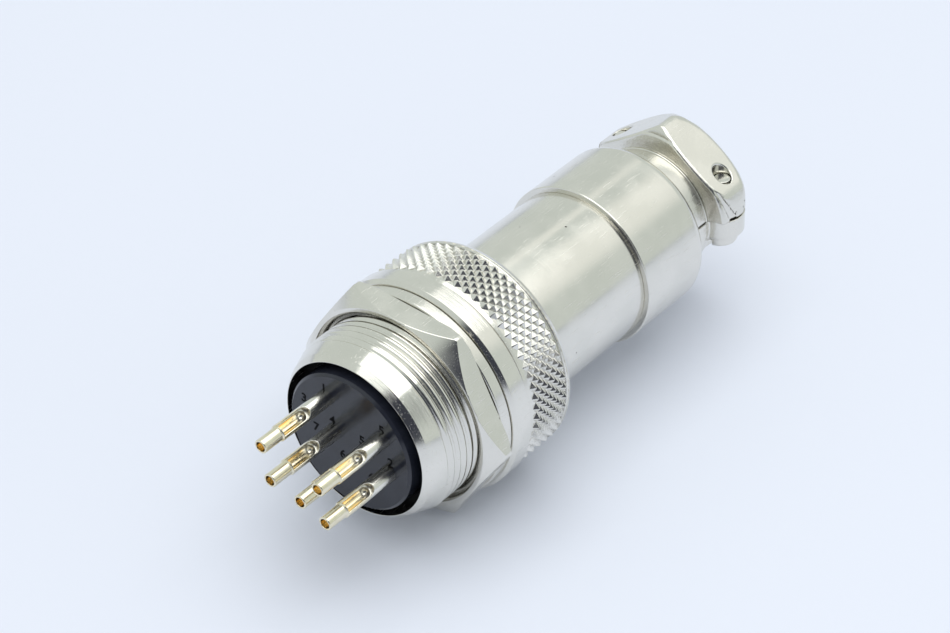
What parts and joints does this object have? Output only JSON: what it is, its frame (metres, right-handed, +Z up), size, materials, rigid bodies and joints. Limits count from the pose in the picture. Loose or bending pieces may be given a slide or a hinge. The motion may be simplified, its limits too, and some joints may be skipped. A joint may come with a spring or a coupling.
{
  "type": "circular aviation connector",
  "caption": "Round metal aviation connector: panel receptacle with solder cups, hexagon nut and flange, mated to a cable plug with knurled coupling ring and cable clamp.",
  "frame": {"origin": "on the connector's axis, in the plane of the flange face that seats on the panel", "axes": "+X along the axis from the solder cups towards the cable clamp; +Z up, square to two flats of the panel nut and on the key rib's side; +Y completes the right-handed frame"},
  "size_m": [0.0512, 0.0208, 0.0192],
  "materials": {
    "nickel_plate": "bright nickel plate on turned brass",
    "gold_contact": "gold plate, polished",
    "black_insert": "glossy moulded thermoset"
  },
  "bodies": {
    "receptacle": {"receptacle_shell": "nickel_plate", "receptacle_insert": "black_insert", "receptacle_retaining_ring": "nickel_plate", "pin_contact_1": "gold_contact", "pin_contact_2": "gold_contact", "pin_contact_3": "gold_contact", "pin_contact_4": "gold_contact", "pin_contact_5": "gold_contact"},
    "washer": {"flat_washer": "nickel_plate"},
    "nut": {"panel_nut": "nickel_plate"},
    "plug": {"plug_shell": "nickel_plate", "plug_insert": "black_insert", "plug_retaining_ring": "nickel_plate", "socket_contact_1": "gold_contact", "socket_contact_2": "gold_contact", "socket_contact_3": "gold_contact", "socket_contact_4": "gold_contact", "socket_contact_5": "gold_contact", "tail_barrel": "nickel_plate"},
    "ring": {"coupling_ring": "nickel_plate"},
    "clamp_bar": {"clamp_bar": "nickel_plate"},
    "screw_1": {"clamp_screw_1": "nickel_plate"},
    "screw_2": {"clamp_screw_2": "nickel_plate"}
  },
  "joints": [
    {"name": "plug_pull", "type": "slide", "parent": "receptacle", "child": "plug", "axis": [1, 0, 0], "range_m": [0, 0.012]},
    {"name": "ring_turn", "type": "hinge", "parent": "plug", "child": "ring", "pos_m": [0.0048, 0, 0], "axis": [1, 0, 0], "continuous": true},
    {"name": "washer_slide", "type": "slide", "parent": "receptacle", "child": "washer", "axis": [-1, 0, 0], "range_m": [0, 0.00401]},
    {"name": "nut_turn", "type": "hinge", "parent": "washer", "child": "nut", "pos_m": [-0.0022, 0, 0], "axis": [-1, 0, 0], "range_deg": [0, 1440]},
    {"name": "clamp_open", "type": "slide", "parent": "plug", "child": "clamp_bar", "axis": [0, -0.0506, -0.9987], "range_m": [0, 0.00135]},
    {"name": "screw_1_turn", "type": "hinge", "parent": "clamp_bar", "child": "screw_1", "pos_m": [0.03301, -0.00525, -0.00089], "axis": [0, -0.0506, -0.9987], "range_deg": [0, 1080]},
    {"name": "screw_2_turn", "type": "hinge", "parent": "clamp_bar", "child": "screw_2", "pos_m": [0.03301, 0.00514, -0.00141], "axis": [0, -0.0506, -0.9987], "range_deg": [0, 1080]}
  ],
  "couplings": [
    {"joint": "washer_slide", "follows": "nut_turn", "m_per_rad": 0.00015915},
    {"joint": "screw_1_turn", "follows": "clamp_open", "rad_per_m": 13963},
    {"joint": "screw_2_turn", "follows": "clamp_open", "rad_per_m": 13963}
  ]
}
